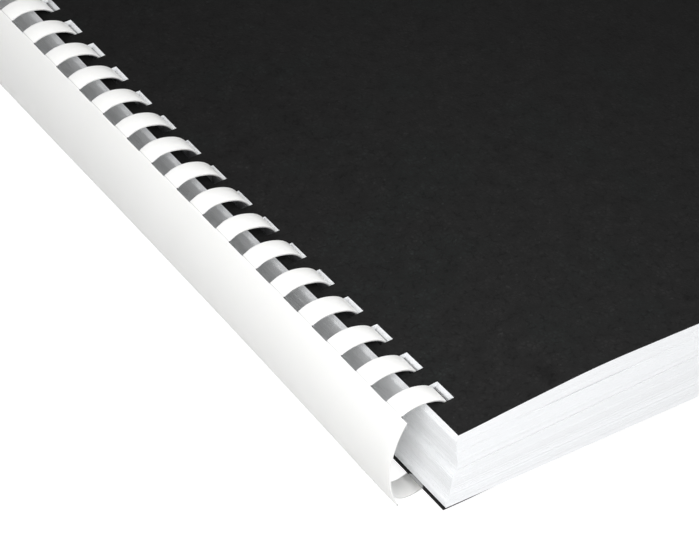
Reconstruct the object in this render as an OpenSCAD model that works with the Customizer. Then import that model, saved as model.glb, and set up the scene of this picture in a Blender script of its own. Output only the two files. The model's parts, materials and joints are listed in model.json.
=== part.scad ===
// Comb-bound document: punched leaves between two card covers, held by a plastic comb.
//
// The stack is drawn in the document's own frame and then laid down by laid().
//   X runs from the spine towards the fore edge, and 0 is the corner of the bound edge.
//   Y runs along the binding, and 0 is the foot edge of the leaves.
//   Z runs from the underside of the back cover up to the front cover.
// Laid down, the document leans on its comb and on the fore edge of the back cover, and the
// origin is the middle of its bounding box, on the surface that it lies on.

/* [Leaves] */
// Width of a leaf, from bound edge to fore edge
page_w = 215.9; // [180:0.1:260]
// Height of a leaf, along the binding
page_h = 279.4; // [200:0.1:330]
// Number of sheaves in the block
sheaf_count = 25; // [22:1:28]
// Thickness of one sheaf of about nine leaves
sheaf_t = 0.88; // [0.8:0.01:0.95]
// Air between neighbouring sheaves at the bound edge
air_gap = 0.195; // [0.1:0.005:0.25]
// Air between neighbouring sheaves where the stack is tightest
tight_gap = 0.02; // [0.01:0.01:0.05]
// Thickness of a card cover
cover_t = 0.45; // [0.3:0.05:0.6]

/* [Swell of the stack] */
// How far the front cover rises away from the comb
cover_rise = 4.75; // [2:0.05:6]
// Distance from the bound edge at which the front cover is highest
cover_reach = 60; // [40:1:85]
// Height at the bound edge of the lower leaves, which fan out as a wedge
wedge_z = 13.93; // [8:0.01:18]
// How far the top of the wedge rises
wedge_rise = 5.28; // [2:0.01:5.5]
// Height at the bound edge of the gape below the upper leaves
gape_z = 23.8; // [20:0.1:26]
// How far the gape rises
gape_rise = 3.2; // [2:0.05:4]
// Distance from the bound edge at which the wedge and the gape are highest
fan_reach = 90; // [88:1:110]
// How much the stack settles again towards its fore edge
fore_settle = 0.95; // [0:0.05:1.5]

/* [Bound edges] */
// Bound edge of the front cover
front_edge_x = 0.35; // [0:0.05:0.5]
// Bound edge of the back cover
back_edge_x = -0.2; // [-0.4:0.05:0.2]
// How far the comb pushes the middle leaves towards the fore edge
middle_push = 1.7; // [0.8:0.05:2]
// Height of the leaf that is pushed furthest
push_z = 15.5; // [12:0.1:17]
// Half height of the stretch that is pushed
push_spread = 4.5; // [3:0.1:7]

/* [Slots] */
// Distance between neighbouring slots, which is nine sixteenths of an inch
pitch = 14.2875; // [14:0.0125:14.6]
// Distance from the foot edge to the middle of the first slot
foot_margin = 16.1; // [8:0.1:17]
// Least paper left between the last slot and the head edge
head_margin = 1.5; // [1:0.1:4]
// Width of paper left between the bound edge and a slot
slot_inset = 3.1; // [2.9:0.05:3.2]
// Width of a slot across the binding
slot_w = 4.7; // [4.5:0.05:5.2]
// Length of a slot along the binding
slot_l = 8; // [7.4:0.1:9]
// Least play between a slot and the finger in it
slot_play = 0.12; // [0.1:0.01:0.3]

/* [Comb] */
// Wall of the comb
comb_wall = 0.55; // [0.4:0.01:0.6]
// Width of a finger
finger_w = 6.85; // [6:0.05:7.2]
// Length of spine beyond the middle of each end finger
spine_overrun = 6.86; // [4:0.01:8]
// Radius of a finger over the covers
crown_r = 13; // [12.8:0.05:13.2]
// Line of the crown's centre, across the binding
crown_x = -3.4; // [-3.5:0.05:-3.2]
// Height of a finger's crown above the stack at the bound edge
crown_rise = 3.0; // [2.95:0.05:3.2]
// Depth of the fingers below the back cover
tail_drop = 4.6; // [4.4:0.05:4.8]
// Angle at which a crown turns into the shank in the slots
shoulder_angle = 52; // [50:1:54]
// Radius of the shoulders of a shank
shank_r = 10.1; // [9.8:0.05:10.3]
// Radius of the turn that tucks a finger's tip into the spine
tail_r = 8; // [7.5:0.1:8.5]
// Turn of the tip along the inside of the spine
tip_turn = 7; // [4:0.5:9]
// Gap between a finger's tip and the spine
tip_gap = 0.3; // [0.2:0.05:0.5]
// Radius of the spine's bow
spine_r = 31; // [29:0.5:34]
// Outermost line of the spine
spine_x = -13.9; // [-14.2:0.05:-13.6]
// Height of the bow's centre above the middle of the fingers
spine_lift = 0.8; // [0:0.1:1.2]
// Lower edge of the spine, below the back cover
spine_foot = 2.0; // [1.5:0.1:2.4]
// Radius of the turn between spine and finger
root_r = 3; // [2:0.1:4]
// Share of the root's turn that belongs to the spine
root_share = 0.4; // [0.2:0.05:0.6]

/* [Turning] */
// Distance of a leaf's fold from the bound edge's corner
fold_x = 10.5; // [10:0.1:14]
// Gap across a fold
fold_gap = 0.05; // [0.02:0.01:0.1]

/* [Hidden] */
// Sheaves on top of the block that turn with the front cover
turning = 4;
// Largest turn of one facet of the comb
facet_turn = 6;
// How softly the front cover starts to rise at the bound edge
rise_power = 1.3;
// Bends in a layer's outline as far as the fan reaches, and from there to the fore edge
fan_stations = 12;
fore_stations = 4;
// Least distance between two bends
station_gap = 1;
// Points of an outline that are closer than this are one point
merge = 0.001;
// How far a cutter reaches past what it cuts
overcut = 1;

// A punch makes as many slots as a leaf has room for
ring_count = floor((page_h - foot_margin - slot_l / 2 - head_margin) / pitch) + 1;
stack_h = 2 * cover_t + sheaf_count * sheaf_t + (sheaf_count + 1) * air_gap;
crown_c = [crown_x, stack_h + crown_rise - crown_r];
belly_c = [crown_x, crown_r - tail_drop];
shank_shift = (crown_r - shank_r) * [cos(shoulder_angle), sin(shoulder_angle)];
shank_c = crown_c + shank_shift;
heel_c = belly_c + [shank_shift.x, -shank_shift.y];
spine_c = [spine_x + spine_r, (crown_c.y + belly_c.y) / 2 + spine_lift];
tip_r = spine_r - comb_wall - tip_gap;
root_c = nested(spine_c, spine_r, crown_c, crown_r, root_r, -1);
tail_c = nested(belly_c, crown_r, spine_c, tip_r, tail_r, -1);

root_from = heading(spine_c, root_c) - 360;
root_to = heading(crown_c, root_c) - 360;
root_split = root_from + root_share * (root_to - root_from);
tail_from = heading(belly_c, tail_c);
tail_to = heading(spine_c, tail_c);
spine_foot_angle = asin((spine_c.y + spine_foot) / spine_r) - 180;

// Each arc of the comb is [centre, outer radius, first angle, last angle], and they run clockwise
// from the spine's lower edge round to the tip of the finger.
spine_arcs = [
    [spine_c, spine_r, spine_foot_angle, root_from],
    [root_c, root_r, root_from, root_split]
];
crown_arcs = [
    [root_c, root_r, root_split, root_to],
    [crown_c, crown_r, root_to + 360, shoulder_angle]
];
shank_arcs = [
    [shank_c, shank_r, shoulder_angle, 0],
    [heel_c, shank_r, 0, -shoulder_angle]
];
tail_arcs = [
    [belly_c, crown_r, -shoulder_angle, tail_from],
    [tail_c, tail_r, tail_from, tail_to],
    [spine_c, tip_r, tail_to, tail_to - tip_turn]
];

// The lean that brings the comb and the back cover's fore edge onto one surface
rest_edge = [back_edge_x + page_w, 0];
rest_reach = norm(rest_edge - tail_c);
tilt = asin(tail_r / rest_reach) - atan(tail_c.y / (rest_edge.x - tail_c.x));
rest_z = -rest_edge.x * sin(tilt);
spine_side = across(spine_c) - spine_r;
fore_side = max([for (k = [0 : sheaf_count + 1])
    across([edge_x(k) + page_w, under_z(k, edge_x(k) + page_w) + layer_t(k)])]);
spine_y = foot_margin - spine_overrun;
spine_l = (ring_count - 1) * pitch + 2 * spine_overrun;
middle_y = (min(0, spine_y) + max(page_h, spine_y + spine_l)) / 2;

function leaf_name(k) = str("leaf_", k);
function sheaf_name(k) = str("sheaf_", k < 10 ? "0" : "", k);

// Centre of the circle of radius r that touches two circles from inside, on one side of their line
function nested(c1, r1, c2, r2, r, side) =
    let (line = c2 - c1, far = norm(line), along = line / far,
         a = ((r1 - r) ^ 2 - (r2 - r) ^ 2 + far ^ 2) / (2 * far),
         h = sqrt((r1 - r) ^ 2 - a ^ 2))
    c1 + a * along + side * h * [-along.y, along.x];

function heading(from, to) = atan2(to.y - from.y, to.x - from.x);

// Where a point of the stack's section lies across the binding once the document is laid down
function across(p) = p.x * cos(tilt) + p.y * sin(tilt);

function arc_points(arc, inset) =
    let (n = ceil(abs(arc[3] - arc[2]) / facet_turn), r = arc[1] - inset)
    [for (i = [0 : n]) let (a = arc[2] + (arc[3] - arc[2]) * i / n) arc[0] + r * [cos(a), sin(a)]];
function path(arcs, inset) = [for (arc = arcs) each arc_points(arc, inset)];
function distinct(pts) =
    [for (i = [0 : len(pts) - 1]) if (i == 0 || norm(pts[i] - pts[i - 1]) > merge) pts[i]];
function reversed(pts) = [for (i = [len(pts) - 1 : -1 : 0]) pts[i]];

// Layers are counted from the front cover, 0, through the sheaves to the back cover
function layer_t(k) = k == 0 || k == sheaf_count + 1 ? cover_t : sheaf_t;
function base_z(k) =
    k > sheaf_count ? 0 : cover_t + air_gap + (sheaf_count - k) * (sheaf_t + air_gap);

// How far the front cover, and the two lines at which the leaves fan out, rise at a line
function settled(x, reach) = fore_settle * (max(0, x - reach) / (page_w - reach)) ^ 2;
function cover_lift(x) =
    x <= 0 ? 0
    : x < cover_reach ? cover_rise * sin(90 * x / cover_reach) ^ rise_power
    : cover_rise - settled(x, cover_reach);
function fan_lift(rise, x) =
    x <= 0 ? 0 : rise * min(1, x / fan_reach) - settled(x, fan_reach);

// How far a leaf rises at a line, from its height at the bound edge
function between(z, z0, z1, lift0, lift1) = lift0 + (lift1 - lift0) * (z - z0) / (z1 - z0);
function lift(z, x) =
    z < wedge_z ? between(z, 0, wedge_z, 0, fan_lift(wedge_rise, x))
    : z < gape_z ? between(z, wedge_z, gape_z, fan_lift(wedge_rise, x), fan_lift(gape_rise, x))
    : between(z, gape_z, stack_h - cover_t, fan_lift(gape_rise, x), cover_lift(x));

// Underside of layer k at a line. No layer sinks into the one below it.
function under_z(k, x) =
    k > sheaf_count ? 0
    : max(base_z(k) + lift(base_z(k), x), under_z(k + 1, x) + layer_t(k + 1) + tight_gap);

// Outermost line of a finger at a height, at rest and over the whole turn of a leaf
function shank_reach(z) =
    z > shank_c.y ? shank_c.x + sqrt(shank_r ^ 2 - (z - shank_c.y) ^ 2)
    : z < heel_c.y ? heel_c.x + sqrt(shank_r ^ 2 - (z - heel_c.y) ^ 2)
    : shank_c.x + shank_r;
function crown_reach(z) = crown_x + sqrt(crown_r ^ 2 - (z - crown_c.y) ^ 2);
function finger_reach(k) =
    k <= turning ? crown_reach(base_z(k))
    : max(shank_reach(base_z(k)), shank_reach(base_z(k) + layer_t(k)));

// Bound edge of each layer: the covers' own lines, and between them the leaves follow the fingers
function lean(z) =
    back_edge_x + (front_edge_x - back_edge_x) * z / stack_h
    + middle_push * exp(-((z - push_z) / push_spread) ^ 2);
function edge_x(k) =
    k == 0 ? front_edge_x
    : k > sheaf_count ? back_edge_x
    : max(lean(base_z(k) + sheaf_t / 2), finger_reach(k) + slot_play - slot_inset - slot_w);

// Stations where the outline of a layer bends, between two lines
function stations(x0, x1) =
    let (fan = [for (i = [1 : fan_stations]) fan_reach * i / fan_stations],
         fore = [for (i = [1 : fore_stations])
             fan_reach + (page_w - fan_reach) * i / (fore_stations + 1)])
    [x0, for (x = concat(fan, fore)) if (x > x0 + station_gap && x < x1 - station_gap) x, x1];

// Lays the document down on its comb and on the fore edge of its back cover
module laid() {
    translate([-(spine_side + fore_side) / 2, -middle_y, -rest_z])
        rotate([0, tilt, 0])
            children();
}

// Extrudes an outline drawn across the binding along Y
module along(y, length) {
    translate([0, y + length, 0])
        rotate([90, 0, 0])
            linear_extrude(length)
                children();
}

// The wall of the comb that follows a chain of arcs
module wall_along(arcs) {
    polygon(concat(distinct(path(arcs, 0)), reversed(distinct(path(arcs, comb_wall)))));
}

// One piece of each finger
module fingers(arcs) {
    for (i = [0 : ring_count - 1])
        along(foot_margin + i * pitch - finger_w / 2, finger_w)
            wall_along(arcs);
}

// The row of slots that takes the fingers, for a layer whose bound edge is at x
module slots(x) {
    for (i = [0 : ring_count - 1])
        translate([x + slot_inset, foot_margin + i * pitch - slot_l / 2, -overcut])
            cube([slot_w, slot_l, stack_h + cover_rise + 2 * overcut]);
}

// A stretch of layer k between two lines
module layer(k, x0, x1) {
    xs = stations(x0, x1);
    under = [for (x = xs) [x, under_z(k, x)]];
    over = [for (p = under) p + [0, layer_t(k)]];
    along(0, page_h)
        polygon(concat(under, reversed(over)));
}

// The punched margin of a layer that turns
module bound_edge(k) {
    difference() {
        layer(k, edge_x(k), fold_x);
        slots(edge_x(k));
    }
}

// The rest of a layer that turns, from its fold to the fore edge
module panel(k) {
    layer(k, fold_x + fold_gap, edge_x(k) + page_w);
}

module comb_spine() {
    color("white") laid() along(spine_y, spine_l) wall_along(spine_arcs);
}

module comb_finger_crowns() {
    color("white") laid() fingers(crown_arcs);
}

module comb_finger_shanks() {
    color("white") laid() fingers(shank_arcs);
}

module comb_finger_tails() {
    color("white") laid() fingers(tail_arcs);
}

module front_cover() {
    color([0.15, 0.15, 0.15]) laid() panel(0);
}

module front_cover_bound_edge() {
    color([0.15, 0.15, 0.15]) laid() bound_edge(0);
}

module leaf(k) {
    color("whitesmoke") laid() panel(k);
}

module leaf_bound_edge(k) {
    color("whitesmoke") laid() bound_edge(k);
}

module sheaf(k) {
    color("whitesmoke") laid() difference() {
        layer(k, edge_x(k), edge_x(k) + page_w);
        slots(edge_x(k));
    }
}

module back_cover() {
    color([0.15, 0.15, 0.15]) laid() panel(sheaf_count + 1);
}

module back_cover_bound_edge() {
    color([0.15, 0.15, 0.15]) laid() bound_edge(sheaf_count + 1);
}

comb_spine();
comb_finger_crowns();
comb_finger_shanks();
comb_finger_tails();
front_cover();
front_cover_bound_edge();
for (k = [1 : turning]) {
    leaf(k);
    leaf_bound_edge(k);
}
for (k = [turning + 1 : sheaf_count])
    sheaf(k);
back_cover();
back_cover_bound_edge();
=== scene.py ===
"""A comb-bound document: a plastic comb, two leather-grained card covers and the leaves.

The pieces are modelled in the document's own frame, in millimetres, as in the CAD source:
    X runs from the spine towards the fore edge, and 0 is the corner of the bound edge.
    Y runs along the binding, and 0 is the foot edge of the leaves.
    Z runs from the underside of the back cover up to the front cover.
lay_down() then turns them into the frame's metres, where the document leans on its comb.
"""

import json
import math
import random
from functools import lru_cache

import bmesh
import bpy
from mathutils import Matrix, Vector
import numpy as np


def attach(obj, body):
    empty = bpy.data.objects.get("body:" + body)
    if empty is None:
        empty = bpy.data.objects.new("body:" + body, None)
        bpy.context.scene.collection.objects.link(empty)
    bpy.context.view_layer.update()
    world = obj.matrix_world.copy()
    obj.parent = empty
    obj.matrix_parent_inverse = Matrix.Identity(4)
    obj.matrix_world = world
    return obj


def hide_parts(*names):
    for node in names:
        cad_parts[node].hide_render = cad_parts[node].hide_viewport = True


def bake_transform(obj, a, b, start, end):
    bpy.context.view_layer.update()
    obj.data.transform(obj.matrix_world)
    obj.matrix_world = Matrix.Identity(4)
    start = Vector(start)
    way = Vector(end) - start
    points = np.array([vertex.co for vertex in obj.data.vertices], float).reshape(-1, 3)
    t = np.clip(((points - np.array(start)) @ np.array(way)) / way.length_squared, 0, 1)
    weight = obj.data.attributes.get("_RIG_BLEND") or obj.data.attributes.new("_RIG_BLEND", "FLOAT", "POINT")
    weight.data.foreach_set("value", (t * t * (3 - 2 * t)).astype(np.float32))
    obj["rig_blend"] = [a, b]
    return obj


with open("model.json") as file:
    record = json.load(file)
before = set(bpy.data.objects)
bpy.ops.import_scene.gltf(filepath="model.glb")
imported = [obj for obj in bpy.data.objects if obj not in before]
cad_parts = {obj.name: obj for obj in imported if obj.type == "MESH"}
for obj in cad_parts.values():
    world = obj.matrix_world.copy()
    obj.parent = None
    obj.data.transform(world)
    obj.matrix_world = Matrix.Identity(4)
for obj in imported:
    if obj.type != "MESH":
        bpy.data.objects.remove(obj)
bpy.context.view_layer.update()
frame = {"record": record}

MM = 0.001

# Leaves and covers
PAGE_W = 215.9
PAGE_H = 279.4
COVER_T = 0.45
SHEAF_T = 0.88
AIR_GAP = 0.195
TIGHT_GAP = 0.02
SHEETS_IN_SHEAF = 9
SHEET_ROOM = (SHEAF_T + AIR_GAP) / SHEETS_IN_SHEAF
TURNING_LEAVES = 4
SHEAVES = 25
BACK_COVER = SHEAVES + 1
FOLD_X = 10.5
FOLD_HALF_WIDTH = 2.2

# Lines at which a sheet bends: in half of the fold, then close together, then wider apart
HALF_FOLD_BENDS = 3
NEAR_BENDS_X = 15
NEAR_BENDS_RUN = 80
FAR_BENDS_X = 100
FORE_MARGIN = 5

# How exact a place and a length have to be to count as the same
SAME_PLACE = 0.01
SAME_LENGTH = 0.05

# Swell of the stack
STACK_H = 2 * COVER_T + SHEAVES * SHEAF_T + (SHEAVES + 1) * AIR_GAP
COVER_RISE = 4.75
COVER_REACH = 60.0
RISE_POWER = 1.3
WEDGE_Z = 13.93
WEDGE_RISE = 5.28
GAPE_Z = 23.8
GAPE_RISE = 3.2
FAN_REACH = 90.0
FORE_SETTLE = 0.95

# Bound edges: the covers' own lines, and how far the comb pushes the leaves between them
FRONT_EDGE_X = 0.35
BACK_EDGE_X = -0.2
BACK_COVER_OVERHANG = 0.35
BACK_COVER_SHORTFALLS = ((0, 0.1), (9, 0.22), (16, 0.5), (22, 0.75), (216, 0.75))
LEAST_EDGE_X = 0.12
MOST_EDGE_X = 1.78
MIDDLE_PUSH = 1.7
PUSH_Z = 15.5
PUSH_SPREAD = 4.5
SLANT_Z = 25.3
SLANT = 0.24

# The leaves lie lower at the comb in mid-length than at the foot edge
FOOT_LIFT = 0.35
SAG = 2.05
SAG_LENGTH = 244.0
SAG_POWER = 1.5
SAG_FROM_X = 12.0
SAG_TO_X = 75.0
FOOT_LIFT_TO_X = 36.0

# Slots
PITCH = 14.2875
RINGS = 19
FOOT_MARGIN = 16.1
SLOT_INSET = 3.1
SLOT_W = 4.7
SLOT_L = 8.0
SLOT_PLAY = 0.12
# Painted shade on the paper's slot walls: full below SLOT_DARK_Z, none above SLOT_LIGHT_Z
SLOT_DARK_Z = 25.6
SLOT_LIGHT_Z = 26.2

# Comb
COMB_WALL = 0.55
FINGER_W = 6.85
SPINE_OVERRUN = 6.86
FOOT_END = FOOT_MARGIN - SPINE_OVERRUN
FOOT_END_SLANT = 0.75
CROWN_R = 13.0
CROWN_X = -3.4
CROWN_RISE = 3.0
TAIL_DROP = 4.6
SHOULDER_ANGLE = 52
SHANK_R = 10.1
TAIL_R = 8.0
TIP_TURN = 7
TIP_GAP = 0.3
SPINE_R = 31.0
SPINE_X = -13.9
SPINE_LIFT = 0.8
SPINE_FOOT = 2.0
ROOT_R = 3.0
ROOT_SHARE = 0.4
ROOT_FILLET = 0.06
ROOT_CREASE = (0.05, 0.1, 0.05)
LIP_CREASE = (0.1,)
LIP_TURN = 1.4
# Painted shade at the deepest of the root crease and of the lip crease
CREASE_PAINTED_SHADE = 0.48
LIP_PAINTED_SHADE = 0.65
TIP_ROUND = 2.0
COMB_EDGE = 0.05

# How finely the comb is swept: steps for each arc, and degrees for a step of the others
LIP_STEPS = 2
SPINE_STEPS = 24
SPINE_ROOT_STEPS = 6
ROOT_STEPS = 12
TIP_STEPS = 12
STEP_ANGLE = 5

# Angles over which an edge is hard, in degrees
HARD_SHEET_EDGE = 35
HARD_COMB_EDGE = 50
BEVELLED_COMB_EDGE = 60

# How far the spine's lower edge is drawn in, along Y
TUCKS = (
    (22, 0), (30, 0.15), (40, 0.37), (50, 0.53), (60, 0.68), (75, 0.84), (90, 1.0),
    (105, 1.12), (165, 1.18), (180, 1.08), (195, 1.02), (280, 1.02),
)
TUCK_WAY = Vector((0.857, 0, 0.515))
TUCK_FROM_Z = 14.0
TUCK_TO_Z = -2.0
TUCK_FROM_X = -5.0
TUCK_TO_X = -11.0

# How much higher the fingers arch, along Y
ARCHES = (
    (37, 0), (52, 0.12), (66, 0.3), (80, 0.38), (95, 0.43), (109, 0.45), (123, 0.45),
    (138, 0.43), (152, 0.4), (166, 0.28), (180, 0.2), (280, 0.2),
)
ARCH_FROM_X = -9.5
ARCH_TO_X = -6.5
ARCH_FROM_Z = 14.0
ARCH_TO_Z = 24.0

# How much fuller the fingers' shoulders are where they enter the slots
SHOULDER_PUSH = 0.6
SHOULDER_FROM_X = -1.0
SHOULDER_TO_X = 4.0
SHOULDER_FROM_Z = 20.0
SHOULDER_TO_Z = 26.0

# Where painted shade comes in on the insides of the fingers' shoulders, along X
SHOULDER_SHADE_FROM_X = -2.0
SHOULDER_SHADE_TO_X = 2.5

# Marks and painted light on the covers: places in the document's frame, and reaches in metres
CARD_CORNER = Vector((-10, 0, 30))
SMUDGE = Vector((34.4, 5.9, 31.4))
SMUDGE_CORE_R = 0.0015
SMUDGE_R = 0.0055
# A pale grey patch painted on the back cover's edge, where the first finger's tail meets it
PALE_PATCH = Vector((-3.0, FOOT_MARGIN - 3, 0.2))
PALE_PATCH_CORE_R = 0.0039
PALE_PATCH_R = 0.0042
# Painted light round CARD_CORNER: lightest within CORNER_R, darkest past CORNER_FADE_R
CORNER_R = 0.04
CORNER_FADE_R = 0.26

# How unevenly the sheets lie
JOG_X = 0.06
JOG_Y = 0.06
LEAST_AIR = 0.002
MOST_AIR = 0.016
AIR_UNEVENNESS = 4

# Single sheets that lie back from the bound edge: height there, and how far back
SET_BACK = ((17.8, 0.12), (11.6, 0.16), (9.9, 0.4), (7.3, 0.16))

# Lines at which the leaves gape: height at the bound edge, and how wide they gape along X
GAPES = (
    (
        GAPE_Z,
        ((12, 0), (22, 0.06), (35, 0.35), (50, 0.45), (60, 0.35), (72, 0.1), (216, 0.05)),
    ),
    (20.9, ((0, 0), (2, 0.13), (12, 0.13), (16, 0), (216, 0))),
    (WEDGE_Z, ((0, 0), (2, 0.14), (12, 0.22), (50, 0.24), (110, 0.2), (216, 0.12))),
    (9.3, ((0, 0.12), (3, 0.05), (10, 0), (216, 0))),
)

# Sheets whose foot edge lies back, in a gape's shade: height, and how far back along X
SHADED_EDGES = (
    (GAPE_Z - 0.12, ((0, 0), (20, 0), (32, 1), (58, 1), (80, 0), (216, 0))),
    (GAPE_Z - 0.24, ((0, 0), (26, 0), (36, 0.7), (54, 0.7), (70, 0), (216, 0))),
    (WEDGE_Z - 0.12, ((0, 0.3), (216, 0.3))),
)

# Colours, as linear red, green and blue
PLASTIC_WHITE = (0.893, 0.893, 0.88)
PLASTIC_RIPPLE = ((0.88, 0.88, 0.867), (0.905, 0.905, 0.892))
# Painted shade on the comb: in its creases and inside the fingers' shoulders
PLASTIC_PAINTED_SHADE = (0.27, 0.27, 0.28)
PAPER_WHITE = (0.90, 0.915, 0.935)
PAPER_TONES = ((0.885, 0.895, 0.91), (0.91, 0.92, 0.935))
# Painted shade on the walls of the paper's slots
SLOT_PAINTED_SHADE = (0.24, 0.24, 0.25)
CARD_BLACK = (0.013, 0.013, 0.013)
CARD_CRACKS = (0.0100, 0.0100, 0.0100)
CARD_MOTTLE = ((0.0074, 0.0073, 0.0073), (0.0156, 0.0154, 0.0154))
CARD_TINTED_MOTTLE = ((0.0070, 0.0076, 0.0074), (0.0140, 0.0161, 0.0156))
# Pale grey patch on the back cover's edge
PALE_PATCH_GREY = (0.33, 0.335, 0.335)
FLOOR_GREY = (0.45, 0.45, 0.45)
WHITE = (1, 1, 1, 1)

# Feature sizes of the finishes' patterns, in metres
RIPPLE_SIZE = 0.02
GLOSS_SIZE = 0.006
PEEL_SIZE = 0.0025
PAPER_TOOTH_SIZE = 0.0004
GRAIN_SIZE = 0.0016
GRAIN_WANDER = 0.0018
CREASE_SIZE = 0.0026
CREASE_WANDER = 0.004
CREASED_PATCH_SIZE = 0.0024
FLECK_SIZE = 0.0013
MOTTLE_SIZE = 0.006
TINT_SIZE = 0.025

# Depths of their relief, in metres
PEEL_DEPTH = 0.00002
PAPER_TOOTH_DEPTH = 0.00001
GRAIN_DEPTH = 0.00004

# View of the document: a point and three angles in its own frame, and the lens
FRAME_W = 699
EYE = Vector((-341.063, -360.213, 479.295))
EYE_YAW = 50.534
EYE_PITCH = 38.801
EYE_ROLL = 7.008
FOCAL_PIXELS = 2486.76
SENSOR_W = 36.0
CLIP_START = 0.05
CLIP_END = 20

# Studio, in metres and watts
TENT_STRENGTH = 0.64
SOFT_BOX_SIZE = 0.4
SOFT_BOXES = (
    ("spine_box", 1.26, Vector((-0.42, -0.33, 0.30))),
    ("foot_box", 2.0, Vector((-0.10, -0.42, 0.62))),
)
SOFT_BOX_AIM = Vector((-0.06, -0.05, 0.02))
FLOOR_HALF = 4
FLOOR_GLOW = 0.88

dice = random.Random(4653)


# ---------------------------------------------------------------- frame and sections


def lay_down():
    """The matrix from the document's frame, in millimetres, to the row's, in metres."""
    rest_face = frame["record"]["mounts"][0]
    up = -Vector(rest_face["axis"]).normalized()
    along = Vector((0, 1, 0))
    across = along.cross(up)
    turn = Matrix((across, along, up)).transposed().to_4x4()
    middle = Vector(((FOLD_X + PAGE_W) / 2, PAGE_H / 2, 0)) * MM
    shift = Vector(rest_face["pos_m"]) - turn @ middle
    return Matrix.Translation(shift) @ turn @ Matrix.Scale(MM, 4)


LAID = lay_down()


def nodes_of(layer):
    """The CAD nodes that one layer is made of, counted from the front cover."""
    if layer == 0:
        return ["front_cover", "front_cover_bound_edge"]
    if layer == BACK_COVER:
        return ["back_cover", "back_cover_bound_edge"]
    if layer <= TURNING_LEAVES:
        return [f"leaf_{layer}", f"leaf_{layer}_bound_edge"]
    return [f"sheaf_{layer:02d}"]


def between(value, low, high, at_low, at_high):
    """What lies between at_low and at_high as value lies between low and high."""
    return at_low + (at_high - at_low) * (value - low) / (high - low)


def eased(value, start, end):
    """1 before start and 0 past end, with an easy curve between."""
    left = min(max((end - value) / (end - start), 0), 1)
    return left * left * (3 - 2 * left)


def along_line(x, points):
    """Height at x of the line through points."""
    x = min(max(x, points[0][0]), points[-1][0])
    for (xa, ya), (xb, yb) in zip(points, points[1:]):
        if x <= xb:
            return between(x, xa, xb, ya, yb)
    return points[-1][1]


def settled(x, reach):
    """How far the stack has settled again at x, past the reach of its swell."""
    return FORE_SETTLE * (max(0, x - reach) / (PAGE_W - reach)) ** 2


def cover_lift(x):
    """How far the front cover rises at x."""
    if x <= 0:
        return 0
    if x < COVER_REACH:
        return COVER_RISE * math.sin(math.pi / 2 * x / COVER_REACH) ** RISE_POWER
    return COVER_RISE - settled(x, COVER_REACH)


def fan_lift(rise, x):
    """How far a leaf that fans out by rise does so at x."""
    if x <= 0:
        return 0
    return rise * min(1, x / FAN_REACH) - settled(x, FAN_REACH)


def lift(z, x):
    """How far a leaf that starts at height z at the bound edge rises at x."""
    wedge, gape = fan_lift(WEDGE_RISE, x), fan_lift(GAPE_RISE, x)
    if z < WEDGE_Z:
        return between(z, 0, WEDGE_Z, 0, wedge)
    if z < GAPE_Z:
        return between(z, WEDGE_Z, GAPE_Z, wedge, gape)
    return between(z, GAPE_Z, STACK_H - COVER_T, gape, cover_lift(x))


def sagged(point):
    """A point of the stack, lowered as the leaves sag at the comb."""
    wave = math.sin(math.pi * min(max(point.y, 0), SAG_LENGTH) / SAG_LENGTH)
    rise = FOOT_LIFT * eased(point.x, SAG_FROM_X, FOOT_LIFT_TO_X)
    drop = SAG * max(wave, 0) ** SAG_POWER * eased(point.x, SAG_FROM_X, SAG_TO_X)
    return Vector((point.x, point.y, point.z + (rise - drop) * point.z / STACK_H))


def base_z(layer):
    """Height of a layer's underside at the bound edge."""
    if layer == BACK_COVER:
        return 0
    return COVER_T + AIR_GAP + (SHEAVES - layer) * (SHEAF_T + AIR_GAP)


@lru_cache(None)
def underside(layer, x):
    """Height of a layer's underside at x. No layer sinks into the one below it."""
    if layer == BACK_COVER:
        return 0
    below = COVER_T if layer == SHEAVES else SHEAF_T
    free = base_z(layer) + lift(base_z(layer), x)
    return max(free, underside(layer + 1, x) + below + TIGHT_GAP)


def finger_reach(z):
    """Outermost line of the fingers' shanks at a height."""
    top, bottom = shank_centres()
    if z > top.y:
        return top.x + math.sqrt(SHANK_R**2 - (z - top.y) ** 2)
    if z < bottom.y:
        return bottom.x + math.sqrt(SHANK_R**2 - (z - bottom.y) ** 2)
    return top.x + SHANK_R


def bound_edge(z):
    """Line of the bound edge of a leaf at height z, where the fingers leave it room."""
    lean = (
        BACK_EDGE_X
        + (FRONT_EDGE_X - BACK_EDGE_X) * z / STACK_H
        + MIDDLE_PUSH * math.exp(-(((z - PUSH_Z) / PUSH_SPREAD) ** 2))
    )
    clear = finger_reach(z) + SLOT_PLAY - SLOT_INSET - SLOT_W
    if z > SLANT_Z:
        return FRONT_EDGE_X - SLANT * (STACK_H - COVER_T - z)
    return min(max(lean, clear, LEAST_EDGE_X), MOST_EDGE_X)


# ---------------------------------------------------------------- making a piece


def add_piece(name, bm, finish, nodes, body=None, fold=None):
    """Lays a finished mesh down and hands it to the frame.

    It rides on one body, or folds between two: fold is (margin, panel, height)."""
    bm.transform(LAID)
    mesh = bpy.data.meshes.new(name)
    bm.to_mesh(mesh)
    bm.free()
    mesh.materials.append(finish)
    piece = bpy.data.objects.new(name, mesh)
    bpy.context.scene.collection.objects.link(piece)
    if fold:
        margin, panel, height = fold
        start = LAID @ Vector((FOLD_X - FOLD_HALF_WIDTH, 0, height))
        end = LAID @ Vector((FOLD_X + FOLD_HALF_WIDTH, 0, height))
        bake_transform(piece, margin, panel, start=start, end=end)
    else:
        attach(piece, body)
    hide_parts(*nodes)


def cut(bm, faces, at, normal):
    """Cuts faces along a plane and keeps both sides."""
    edges = {e for f in faces for e in f.edges}
    verts = {v for f in faces for v in f.verts}
    geom = [*verts, *edges, *faces]
    bmesh.ops.bisect_plane(bm, geom=geom, dist=1e-5, plane_co=at, plane_no=normal)


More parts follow.
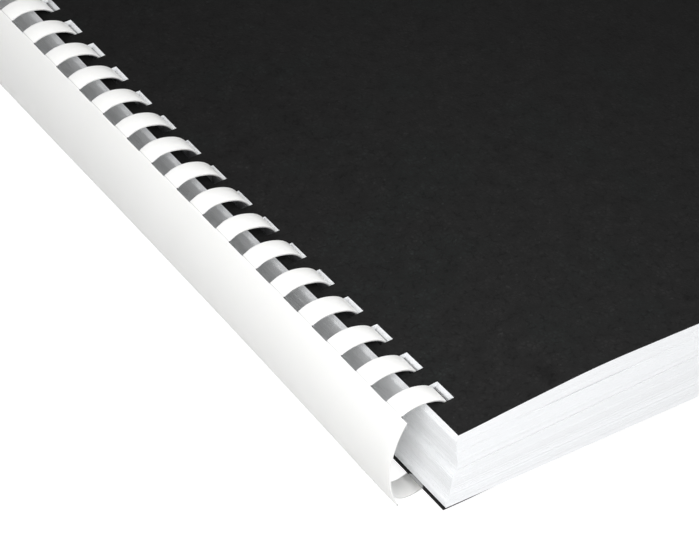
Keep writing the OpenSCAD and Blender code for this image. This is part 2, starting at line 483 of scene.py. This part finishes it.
def soften(bm, hard_over):
    """Smooth shading, with a hard line where two faces meet at more than an angle."""
    for face in bm.faces:
        face.smooth = True
    limit = math.radians(hard_over)
    for edge in bm.edges:
        edge.smooth = edge.is_manifold and edge.calc_face_angle() < limit


# ---------------------------------------------------------------- sheets


def punched_sheet(name, bends, rows):
    """A flat sheet of thickness 1 with its row of slots, cut wherever it bends across or
    along the binding."""
    bm = bmesh.new()
    bm.verts.layers.float.new("tone")
    corners = ((0, 0), (PAGE_W, 0), (PAGE_W, PAGE_H), (0, PAGE_H))
    bm.faces.new([bm.verts.new((x, y, 0)) for x, y in corners])
    near, far = SLOT_INSET, SLOT_INSET + SLOT_W
    for x in sorted({near, far, *bends}):
        cut(bm, bm.faces[:], (x, 0, 0), (1, 0, 0))
    for i in range(1, rows):
        cut(bm, bm.faces[:], (0, PAGE_H * i / rows, 0), (0, 1, 0))
    for i in range(RINGS):
        for side in (-1, 1):
            y = FOOT_MARGIN + i * PITCH + side * SLOT_L / 2
            row = [f for f in bm.faces if near < f.calc_center_median().x < far]
            cut(bm, row, (0, y, 0), (0, 1, 0))
    row = [f for f in bm.faces if near < f.calc_center_median().x < far]
    bmesh.ops.delete(bm, geom=[f for f in row if is_slot(f)], context="FACES")
    raised = bmesh.ops.extrude_face_region(bm, geom=bm.faces[:], use_keep_orig=True)
    top = [v for v in raised["geom"] if isinstance(v, bmesh.types.BMVert)]
    bmesh.ops.translate(bm, verts=top, vec=(0, 0, 1))
    bmesh.ops.recalc_face_normals(bm, faces=bm.faces[:])
    # Marks the slot walls, which get painted shade
    slot_wall = bm.faces.layers.float.new("slot_wall")
    for f in bm.faces:
        upright = abs(f.normal.z) < 0.5
        in_row = near - SAME_PLACE < f.calc_center_median().x < far + SAME_PLACE
        f[slot_wall] = upright and in_row and is_slot(f)
    sheet = bpy.data.meshes.new(name)
    bm.to_mesh(sheet)
    bm.free()
    return sheet


def is_slot(face):
    """Whether a face of the row lies where the punch went through, or on its rim."""
    step = (face.calc_center_median().y - FOOT_MARGIN) / PITCH
    off_middle = abs(step - round(step)) * PITCH
    return off_middle < SLOT_L / 2 + SAME_PLACE and 0 <= round(step) < RINGS


def bends_every(near_step, far_step):
    """Lines at which a sheet bends: close together at the fold, and wider towards the
    fore edge."""
    fold = [
        FOLD_X - FOLD_HALF_WIDTH + i * FOLD_HALF_WIDTH / HALF_FOLD_BENDS
        for i in range(2 * HALF_FOLD_BENDS + 1)
    ]
    near = [NEAR_BENDS_X + i * near_step for i in range(int(NEAR_BENDS_RUN / near_step))]
    far_count = int((PAGE_W - FAR_BENDS_X - FORE_MARGIN) / far_step)
    far = [FAR_BENDS_X + i * far_step for i in range(far_count + 1)]
    return [*fold, *near, *far]


def add_sheet(bm, sheet, place, tone=0, painted_slot_shade=0):
    """Adds one copy of a flat sheet, with each point moved by place(point).

    It has its own tone, and its slot walls get painted shade, as much as the last argument says."""
    first_vert, first_face = len(bm.verts), len(bm.faces)
    bm.from_mesh(sheet)
    bm.verts.ensure_lookup_table()
    bm.faces.ensure_lookup_table()
    tones = bm.verts.layers.float["tone"]
    slot_walls = bm.faces.layers.float["slot_wall"]
    for v in bm.verts[first_vert:]:
        v.co = sagged(place(v.co))
        v[tones] = tone
    for f in bm.faces[first_face:]:
        f[slot_walls] *= painted_slot_shade


def found_at(table, layer, i):
    """What a table of (height, value) says of sheet i of a sheaf, if anything."""
    low = base_z(layer) + i * SHEET_ROOM
    return next((value for z, value in table if low <= z < low + SHEET_ROOM), None)


def leaves(layer, sheet, paper):
    """The sheets of one sheaf, each jogged a little, with uneven air between them."""
    bm = bmesh.new()
    sheets = range(SHEETS_IN_SHEAF)
    airs = [LEAST_AIR + MOST_AIR * dice.random() ** AIR_UNEVENNESS for _ in sheets]
    gapes = [found_at(GAPES, layer, i) for i in sheets]

    @lru_cache(None)
    def sheets_at(x):
        """Underside of the first sheet, thickness of a sheet, and the air below each."""
        low = underside(layer, x)
        air = [a + (along_line(x, g) if g else 0) for a, g in zip(airs, gapes)]
        room = underside(layer - 1, x) - low
        return low, (room - sum(air)) / SHEETS_IN_SHEAF, air

    for i in sheets:
        z = base_z(layer) + (i + 0.5) * SHEET_ROOM
        set_back = found_at(SET_BACK, layer, i) or 0
        edge = bound_edge(z) + dice.random() * JOG_X + set_back
        width = PAGE_W - JOG_X - set_back
        slip_y = dice.random() * JOG_Y
        shaded = found_at(SHADED_EDGES, layer, i)

        def place(p, i=i, edge=edge, width=width, slip_y=slip_y, shaded=shaded):
            x = edge + p.x * width / PAGE_W
            y = slip_y + p.y * (PAGE_H - JOG_Y) / PAGE_H
            if shaded and p.y < 1:
                y += along_line(x, shaded)
            low, thick, air = sheets_at(round(x, 3))
            return Vector((x, y, low + sum(air[: i + 1]) + (i + p.z) * thick))

        # Slot walls deep in the stack get painted shade
        add_sheet(bm, sheet, place, dice.random(), eased(z, SLOT_DARK_Z, SLOT_LIGHT_Z))
    name = f"leaves_{layer:02d}"
    if layer <= TURNING_LEAVES:
        height = underside(layer, FOLD_X) + SHEAF_T
        fold = (f"leaf_{layer}_margin", f"leaf_{layer}_panel", height)
        add_piece(name, bm, paper, nodes_of(layer), fold=fold)
    else:
        add_piece(name, bm, paper, nodes_of(layer), body="block")


def front_cover(card):
    """The front cover, which bulges over the swell of the leaves."""
    bm = bmesh.new()
    bends = bends_every(near_step=2.5, far_step=7.5)
    sheet = punched_sheet("front_cover_flat", bends, rows=40)

    def place(p):
        x = FRONT_EDGE_X + p.x
        return Vector((x, p.y, underside(0, round(x, 3)) + p.z * COVER_T))

    add_sheet(bm, sheet, place)
    soften(bm, HARD_SHEET_EDGE)
    height = underside(0, FOLD_X) + COVER_T
    fold = ("front_cover_margin", "front_cover_panel", height)
    add_piece("front_cover_card", bm, card, nodes_of(0), fold=fold)


def back_cover(card):
    """The back cover, flat under the leaves. Its bound edge shows beside them."""
    bm = bmesh.new()
    bends = bends_every(near_step=15, far_step=15)
    sheet = punched_sheet("back_cover_flat", bends, rows=4)

    def place(p):
        x = BACK_EDGE_X + (p.x if p.x > 0 else -BACK_COVER_OVERHANG)
        y = max(p.y, along_line(x, BACK_COVER_SHORTFALLS))
        return Vector((x, y, p.z * COVER_T))

    add_sheet(bm, sheet, place)
    soften(bm, HARD_SHEET_EDGE)
    nodes = nodes_of(BACK_COVER)
    fold = ("back_cover_margin", "back_cover_panel", 0)
    add_piece("back_cover_card", bm, card, nodes, fold=fold)


# ---------------------------------------------------------------- comb


def nested(c1, r1, c2, r2, r):
    """Centre of the circle of radius r that touches two circles from inside."""
    line = c2 - c1
    far = line.length
    unit = line / far
    a = ((r1 - r) ** 2 - (r2 - r) ** 2 + far**2) / (2 * far)
    h = math.sqrt((r1 - r) ** 2 - a**2)
    return c1 + a * unit - h * Vector((-unit.y, unit.x))


def heading(a, b):
    """Angle at which b lies from a, in degrees."""
    return math.degrees(math.atan2(b.y - a.y, b.x - a.x))


@lru_cache(None)
def ring_centres():
    """Centres of a finger's two large arcs: over the front cover, and under the back."""
    crown = Vector((CROWN_X, STACK_H + CROWN_RISE - CROWN_R))
    return crown, Vector((CROWN_X, CROWN_R - TAIL_DROP))


@lru_cache(None)
def shank_centres():
    """Centres of the two shoulders that join a finger's large arcs to its shank."""
    crown, belly = ring_centres()
    shoulder = math.radians(SHOULDER_ANGLE)
    shift = (CROWN_R - SHANK_R) * Vector((math.cos(shoulder), math.sin(shoulder)))
    return crown + shift, belly + Vector((shift.x, -shift.y))


def comb_arcs():
    """The comb's section as (centre, radius, first angle, last angle), clockwise: the
    spine's arcs from its lower edge, and then the finger's arcs as far as its tip."""
    crown, belly = ring_centres()
    shank, heel = shank_centres()
    spine = Vector((SPINE_X + SPINE_R, (crown.y + belly.y) / 2 + SPINE_LIFT))
    tip_r = SPINE_R - COMB_WALL - TIP_GAP
    root = nested(spine, SPINE_R, crown, CROWN_R, ROOT_R)
    tail = nested(belly, CROWN_R, spine, tip_r, TAIL_R)
    root_from = heading(spine, root) - 360
    root_to = heading(crown, root) - 360
    tail_from = heading(belly, tail)
    tail_to = heading(spine, tail)
    spine_foot = math.degrees(math.asin((spine.y + SPINE_FOOT) / SPINE_R)) - 180
    root_split = root_from + ROOT_SHARE * (root_to - root_from)
    bow = [
        (spine, SPINE_R, spine_foot, root_from),
        (root, ROOT_R, root_from, root_split),
    ]
    finger = [
        (root, ROOT_R, root_split, root_to),
        (crown, CROWN_R, root_to + 360, SHOULDER_ANGLE),
        (shank, SHANK_R, SHOULDER_ANGLE, 0),
        (heel, SHANK_R, 0, -SHOULDER_ANGLE),
        (belly, CROWN_R, -SHOULDER_ANGLE, tail_from),
        (tail, TAIL_R, tail_from, tail_to),
        (spine, tip_r, tail_to, tail_to - TIP_TURN),
    ]
    return bow, finger


def arc_point(arc, angle):
    """The point of an arc of the section at an angle."""
    turn = math.radians(angle)
    return arc[0] + arc[1] * Vector((math.cos(turn), math.sin(turn)))


def verts_of(edges):
    return list({v for e in edges for v in e.verts})


def edges_in(geometry):
    return [g for g in geometry if isinstance(g, bmesh.types.BMEdge)]


def sweep(bm, edges, arc, steps, shape=None, crease=(), grey=CREASE_PAINTED_SHADE):
    """Sweeps edges clockwise along an arc of the section, and returns those at its end.

    shape(share) is the half width of a finger after a share of the arc. A crease is pressed in over the
    first steps, to a depth for each, and painted shade darkens it, as far as grey says at its deepest."""
    centre, _, first, last = arc
    middle = Vector((centre.x, 0, centre.y))
    painted_shade = bm.verts.layers.float["painted_shade"]
    creased = []
    for step in range(1, steps + 1):
        swept = bmesh.ops.spin(
            bm,
            geom=[*verts_of(edges), *edges],
            cent=middle,
            axis=(0, 1, 0),
            angle=math.radians((first - last) / steps),
            steps=1,
        )
        edges = edges_in(swept["geom_last"])
        if shape:
            set_width(edges, shape(step / steps))
        if step <= len(crease):
            creased += [(v, crease[step - 1]) for v in verts_of(edges)]
    for v, depth in creased:
        towards = (middle - v.co) * Vector((1, 0, 1))
        v.co += towards.normalized() * depth
        # Paints shade into the crease
        v[painted_shade] = grey * depth / max(crease)
    return edges


def straight(bm, edges, arc):
    """Carries edges straight on to where an arc starts."""
    start = arc_point(arc, arc[2])
    here = edges[0].verts[0].co
    gap = Vector((start.x - here.x, 0, start.y - here.z))
    if gap.length < SAME_LENGTH:
        return edges
    extruded = bmesh.ops.extrude_edge_only(bm, edges=edges)["geom"]
    edges = edges_in(extruded)
    bmesh.ops.translate(bm, verts=verts_of(edges), vec=gap)
    return edges


def set_width(edges, half):
    """Makes the ends of all fingers half wide to either side of their middles."""
    for v in verts_of(edges):
        middle = FOOT_MARGIN + round((v.co.y - FOOT_MARGIN) / PITCH) * PITCH
        v.co.y = middle + math.copysign(half, v.co.y - middle)


def strained(point):
    """A point of the comb: in mid-length the spine's lower edge is drawn in and the
    fingers arch higher, and all their shoulders bear out into the slots."""
    low = min(max((TUCK_FROM_Z - point.z) / (TUCK_FROM_Z - TUCK_TO_Z), 0), 1)
    near = min(max((TUCK_FROM_X - point.x) / (TUCK_FROM_X - TUCK_TO_X), 0), 1)
    tuck = along_line(point.y, TUCKS) * low**2 * near
    past_root = 1 - eased(point.x, ARCH_FROM_X, ARCH_TO_X)
    over_leaves = 1 - eased(point.z, ARCH_FROM_Z, ARCH_TO_Z)
    arch = along_line(point.y, ARCHES) * past_root * over_leaves
    outer = 1 - eased(point.x, SHOULDER_FROM_X, SHOULDER_TO_X)
    push = SHOULDER_PUSH * outer * (1 - eased(point.z, SHOULDER_FROM_Z, SHOULDER_TO_Z))
    at_foot = point.y < FOOT_END + SAME_PLACE
    cut_back = FOOT_END_SLANT * max(0, point.z - SPINE_FOOT) / STACK_H if at_foot else 0
    return point + TUCK_WAY * tuck + Vector((push, cut_back, arch))


def shade_shoulder_insides(bm):
    """Paints shade on the inner faces of the fingers' shoulders, where they enter the slots."""
    painted_shade = bm.verts.layers.float["painted_shade"]
    crown = ring_centres()[0]
    for v in bm.verts:
        outwards = Vector((v.co.x - crown.x, 0, v.co.z - crown.y))
        if v.co.z > crown.y and v.normal.dot(outwards) < 0:
            v[painted_shade] = max(v[painted_shade], 1 - eased(v.co.x, SHOULDER_SHADE_FROM_X, SHOULDER_SHADE_TO_X))


def comb(plastic):
    """The comb as one moulding: a bowed spine, and the fingers that curl out of it."""
    bow, finger = comb_arcs()
    foot = arc_point(bow[0], bow[0][2])
    root_half = FINGER_W / 2 + ROOT_FILLET
    lines = [FOOT_END]
    for i in range(RINGS):
        middle = FOOT_MARGIN + i * PITCH
        lines += [max(middle - root_half, lines[0]), middle + root_half]
    lines.append(FOOT_MARGIN + (RINGS - 1) * PITCH + SPINE_OVERRUN)
    bm = bmesh.new()
    bm.verts.layers.float.new("painted_shade")
    row = [bm.verts.new((foot.x, y, foot.y)) for y in lines]
    edges = [bm.edges.new(pair) for pair in zip(row, row[1:])]
    spine, lip = bow[0], bow[0][2] - LIP_TURN
    lip_arc = (*spine[:3], lip)
    edges = sweep(bm, edges, lip_arc, LIP_STEPS, crease=LIP_CREASE, grey=LIP_PAINTED_SHADE)
    edges = sweep(bm, edges, (*spine[:2], lip, spine[3]), SPINE_STEPS)
    edges = sweep(bm, edges, bow[1], SPINE_ROOT_STEPS)
    edges = [e for e in edges if abs(e.calc_length() - 2 * root_half) < SAME_LENGTH]

    def fillet(share):
        """Half width of a finger's root, which narrows in a quarter circle."""
        run = min(share * root_length, ROOT_FILLET)
        return root_half - math.sqrt(ROOT_FILLET**2 - (ROOT_FILLET - run) ** 2)

    def rounded(share):
        """Half width of a finger's tip, which closes in two quarter circles."""
        left = min((1 - share) * tip_length, TIP_ROUND)
        bulge = math.sqrt(TIP_ROUND**2 - (TIP_ROUND - left) ** 2)
        return FINGER_W / 2 - TIP_ROUND + bulge

    root_length = finger[0][1] * math.radians(finger[0][2] - finger[0][3])
    tip_length = finger[-1][1] * math.radians(TIP_TURN)
    edges = sweep(bm, edges, finger[0], ROOT_STEPS, fillet, ROOT_CREASE)
    for arc in finger[1:-1]:
        edges = straight(bm, edges, arc)
        edges = sweep(bm, edges, arc, math.ceil((arc[2] - arc[3]) / STEP_ANGLE))
    sweep(bm, edges, finger[-1], TIP_STEPS, rounded)

    bmesh.ops.remove_doubles(bm, verts=bm.verts[:], dist=1e-4)
    for v in bm.verts:
        v.co = strained(v.co)
    bmesh.ops.recalc_face_normals(bm, faces=bm.faces[:])
    spine_face = min(bm.faces, key=lambda f: f.calc_center_median().x)
    if spine_face.normal.x > 0:
        bmesh.ops.reverse_faces(bm, faces=bm.faces[:])
    bmesh.ops.solidify(bm, geom=bm.faces[:], thickness=COMB_WALL)
    bmesh.ops.recalc_face_normals(bm, faces=bm.faces[:])
    # Paints shade inside the shoulders
    shade_shoulder_insides(bm)
    corner = math.radians(BEVELLED_COMB_EDGE)
    bmesh.ops.bevel(
        bm,
        geom=[e for e in bm.edges if e.is_manifold and e.calc_face_angle() > corner],
        offset=COMB_EDGE,
        offset_type="OFFSET",
        segments=2,
        profile=0.5,
        affect="EDGES",
        material=-1,
        clamp_overlap=True,
    )
    soften(bm, HARD_COMB_EDGE)
    nodes = [
        "comb_spine",
        "comb_finger_crowns",
        "comb_finger_shanks",
        "comb_finger_tails",
    ]
    add_piece("comb", bm, plastic, nodes, body="block")


# ---------------------------------------------------------------- finishes


class Finish:
    """A material whose pattern nodes are added one by one."""

    def __init__(self, name, colour, roughness, specular):
        self.material = bpy.data.materials.new(name)
        self.material.use_nodes = True
        self.tree = self.material.node_tree
        self.shader = self.tree.nodes["Principled BSDF"]
        self.set("Base Color", (*colour, 1))
        self.set("Roughness", roughness)
        self.set("Specular IOR Level", specular)
        self.place = self.node("ShaderNodeTexCoord").outputs["Object"]

    def set(self, socket, value):
        """Sets a constant on the shader."""
        self.shader.inputs[socket].default_value = value

    def node(self, kind, settings=None, **inputs):
        """A new node, with its settings and with what goes into its inputs."""
        made = self.tree.nodes.new(kind)
        for key, value in (settings or {}).items():
            setattr(made, key, value)
        for key, value in inputs.items():
            socket = made.inputs[key.replace("_", " ")]
            if isinstance(value, bpy.types.NodeSocket):
                self.tree.links.new(value, socket)
            else:
                socket.default_value = value
        return made

    def link(self, source, socket):
        """Leads a pattern to the shader."""
        self.tree.links.new(source, self.shader.inputs[socket])

    def attribute(self, name):
        """A value that the mesh carries under a name."""
        return self.node("ShaderNodeAttribute", {"attribute_name": name}).outputs["Fac"]

    def noise(self, size, detail=3, roughness=0.5):
        """Noise whose features are size metres across."""
        made = self.node(
            "ShaderNodeTexNoise",
            Vector=self.place,
            Scale=1 / size,
            Detail=detail,
            Roughness=roughness,
        )
        return made.outputs["Fac"]

    def spread(self, source, stretch, onto=(0.0, 1.0)):
        """Maps a stretch of values, (low, high), onto another, and holds the ends."""
        made = self.node("ShaderNodeMapRange", Value=source)
        for socket, value in zip(made.inputs[1:5], (*stretch, *onto)):
            socket.default_value = value
        return made.outputs["Result"]

    def mix(self, share, colour_a, colour_b):
        """From colour_a at a share of 0 to colour_b at a share of 1."""
        made = self.node("ShaderNodeMix", {"data_type": "RGBA"}, Factor=share)
        for socket, colour in zip(made.inputs[6:8], (colour_a, colour_b)):
            if isinstance(colour, bpy.types.NodeSocket):
                self.tree.links.new(colour, socket)
            else:
                socket.default_value = (*colour, 1)
        return made.outputs[2]

    def reach(self, point):
        """Distance in metres from a point of the document."""
        made = self.node("ShaderNodeVectorMath", {"operation": "DISTANCE"})
        self.tree.links.new(self.place, made.inputs[0])
        made.inputs[1].default_value = LAID @ point
        return made.outputs["Value"]

    def times(self, colour, factor):
        """A colour made lighter or darker by a pattern of factors."""
        scale = {"operation": "SCALE"}
        made = self.node("ShaderNodeVectorMath", scale, Vector=colour, Scale=factor)
        return made.outputs["Vector"]

    def bump(self, height, depth, strength=1.0):
        """Fine relief, depth metres deep."""
        relief = {"Height": height, "Distance": depth, "Strength": strength}
        return self.node("ShaderNodeBump", **relief).outputs["Normal"]


def white_plastic():
    """Moulded comb plastic: satin white, with the faint ripple of a drawn sheet."""
    finish = Finish("white_comb_plastic", PLASTIC_WHITE, roughness=0.38, specular=0.3)
    finish.set("Subsurface Weight", 0.4)
    finish.set("Subsurface Radius", (1.0, 1.0, 0.95))
    finish.set("Subsurface Scale", 0.0005)
    ripple = finish.mix(finish.noise(RIPPLE_SIZE), *PLASTIC_RIPPLE)
    # Painted shade in the creases and inside the shoulders
    colour = finish.mix(finish.attribute("painted_shade"), ripple, PLASTIC_PAINTED_SHADE)
    gloss = finish.spread(finish.noise(GLOSS_SIZE), (0.3, 0.7), (0.3, 0.42))
    finish.link(colour, "Base Color")
    finish.link(gloss, "Roughness")
    finish.link(finish.bump(finish.noise(PEEL_SIZE, 2), PEEL_DEPTH), "Normal")
    return finish.material


def white_paper():
    """Bright office paper, a little different in tone from sheet to sheet, with shade painted on the walls
    of its slots deep in the stack."""
    finish = Finish("white_paper", PAPER_WHITE, roughness=0.75, specular=0.2)
    sheets = finish.mix(finish.attribute("tone"), *PAPER_TONES)
    # Painted shade on the slot walls
    colour = finish.mix(finish.attribute("slot_wall"), sheets, SLOT_PAINTED_SHADE)
    tooth = finish.bump(finish.noise(PAPER_TOOTH_SIZE, 2), PAPER_TOOTH_DEPTH)
    finish.link(colour, "Base Color")
    finish.link(tooth, "Normal")
    return finish.material


def leather_cells(finish, size, wander):
    """Distance to the edges of uneven cells, size metres across and bent by wander."""
    wobble = finish.node(
        "ShaderNodeTexNoise",
        Vector=finish.place,
        Scale=0.5 / size,
        Detail=3.0,
        Roughness=0.6,
    )
    bent = finish.node("ShaderNodeVectorMath", {"operation": "MULTIPLY_ADD"})
    finish.tree.links.new(wobble.outputs["Color"], bent.inputs[0])
    bent.inputs[1].default_value = (wander, wander, wander)
    finish.tree.links.new(finish.place, bent.inputs[2])
    cells = finish.node(
        "ShaderNodeTexVoronoi",
        {"feature": "DISTANCE_TO_EDGE"},
        Vector=bent.outputs["Vector"],
        Scale=1 / size,
    )
    return cells.outputs["Distance"]


def black_card():
    """Black card with a pressed leather grain: small cells, broken creases, flecks and a
    mottled ground.

    Painted light makes it lighter towards the foot corner of the comb and darker away from it. It carries
    one dull smudge, and a pale grey patch is painted on the back cover's edge where the first finger's tail
    meets it."""
    finish = Finish("black_leather_card", CARD_BLACK, roughness=0.6, specular=0.06)
    grain = finish.spread(leather_cells(finish, GRAIN_SIZE, GRAIN_WANDER), (0.0, 0.3))
    mottle = finish.spread(finish.noise(MOTTLE_SIZE, 5, 0.7), (0.35, 0.65))
    tint = finish.spread(finish.noise(TINT_SIZE, 2), (0.5, 0.62))
    ground = finish.mix(mottle, *CARD_MOTTLE)
    tinted = finish.mix(mottle, *CARD_TINTED_MOTTLE)
    grained = finish.mix(grain, CARD_CRACKS, finish.mix(tint, ground, tinted))

    lines = leather_cells(finish, CREASE_SIZE, CREASE_WANDER)
    creases = finish.spread(lines, (0.0, 0.14), (0.62, 1.0))
    creased = finish.spread(finish.noise(CREASED_PATCH_SIZE, 4, 0.7), (0.48, 0.6))
    cracked = finish.mix(creased, grained, finish.times(grained, creases))
    flecks = finish.spread(finish.noise(FLECK_SIZE, 2, 0.6), (0.66, 0.74), (1.0, 1.7))
    worn = finish.times(cracked, flecks)

    corner = finish.reach(CARD_CORNER)
    # Painted light: lighter near the comb's foot corner, darker further off
    painted_light_falloff = finish.spread(corner, (CORNER_R, CORNER_FADE_R), (1.36, 0.55))
    smudge = finish.spread(finish.reach(SMUDGE), (SMUDGE_CORE_R, SMUDGE_R), (0.72, 1.0))
    # A pale grey patch painted on the back cover's edge, where the first finger's tail meets it
    pale_patch = finish.spread(finish.reach(PALE_PATCH), (PALE_PATCH_CORE_R, PALE_PATCH_R), (1.0, 0.0))
    used = finish.times(finish.times(worn, painted_light_falloff), smudge)
    finish.link(finish.mix(pale_patch, used, PALE_PATCH_GREY), "Base Color")
    finish.link(finish.bump(grain, GRAIN_DEPTH, strength=0.4), "Normal")
    return finish.material


# ---------------------------------------------------------------- stage


def studio_floor():
    """A pale floor that keeps the document's shadow and runs to white away from it."""
    bm = bmesh.new()
    bmesh.ops.create_grid(bm, x_segments=1, y_segments=1, size=FLOOR_HALF)
    mesh = bpy.data.meshes.new("floor")
    bm.to_mesh(mesh)
    bm.free()
    floor = bpy.data.objects.new("floor", mesh)
    bpy.context.scene.collection.objects.link(floor)
    finish = Finish("pale_floor", FLOOR_GREY, roughness=0.9, specular=0.0)
    mesh.materials.append(finish.material)
    rays = finish.node("ShaderNodeLightPath")
    seen = finish.node("ShaderNodeMath", {"operation": "MAXIMUM"})
    finish.tree.links.new(rays.outputs["Is Camera Ray"], seen.inputs[0])
    finish.tree.links.new(rays.outputs["Is Glossy Ray"], seen.inputs[1])
    glow = finish.node("ShaderNodeMath", {"operation": "MULTIPLY"})
    finish.tree.links.new(seen.outputs[0], glow.inputs[0])
    glow.inputs[1].default_value = FLOOR_GLOW
    finish.set("Emission Color", WHITE)
    finish.link(glow.outputs[0], "Emission Strength")


def studio_light():
    """A white tent, with a soft box beside the spine and one before the foot edge."""
    world = bpy.data.worlds.new("white_tent")
    bpy.context.scene.world = world
    world.use_nodes = True
    tent = world.node_tree.nodes["Background"]
    tent.inputs["Color"].default_value = WHITE
    tent.inputs["Strength"].default_value = TENT_STRENGTH
    for name, watts, place in SOFT_BOXES:
        lamp = bpy.data.lights.new(name, "AREA")
        lamp.shape = "DISK"
        lamp.size = SOFT_BOX_SIZE
        lamp.energy = watts
        box = bpy.data.objects.new(name, lamp)
        box.location = place
        box.rotation_euler = (SOFT_BOX_AIM - place).to_track_quat("-Z", "Y").to_euler()
        bpy.context.scene.collection.objects.link(box)


def camera():
    """The camera over the foot corner of the comb."""
    yaw, pitch, roll = (math.radians(a) for a in (EYE_YAW, EYE_PITCH, EYE_ROLL))
    flat = math.cos(pitch)
    ahead = Vector((flat * math.cos(yaw), flat * math.sin(yaw), -math.sin(pitch)))
    level = ahead.cross(Vector((0, 0, 1))).normalized()
    upright = level.cross(ahead)
    right = math.cos(roll) * level + math.sin(roll) * upright
    up = math.cos(roll) * upright - math.sin(roll) * level
    turn = LAID.to_3x3().normalized() @ Matrix((right, up, -ahead)).transposed()
    lens = bpy.data.cameras.new("camera")
    lens.sensor_width = SENSOR_W
    lens.lens = FOCAL_PIXELS * SENSOR_W / FRAME_W
    lens.clip_start = CLIP_START
    lens.clip_end = CLIP_END
    eye = bpy.data.objects.new("camera", lens)
    eye.matrix_world = Matrix.Translation(LAID @ EYE) @ turn.to_4x4()
    bpy.context.scene.collection.objects.link(eye)
    bpy.context.scene.camera = eye


# ---------------------------------------------------------------- the document


def build():
    """Makes every piece of the document."""
    plastic, paper, card = white_plastic(), white_paper(), black_card()
    comb(plastic)
    front_cover(card)
    back_cover(card)
    bends = bends_every(near_step=5, far_step=20)
    sheet = punched_sheet("flat_leaf", bends, rows=10)
    for layer in range(1, SHEAVES + 1):
        leaves(layer, sheet, paper)


camera()
studio_light()
studio_floor()
build()
bpy.context.scene.view_settings.view_transform = "Standard"
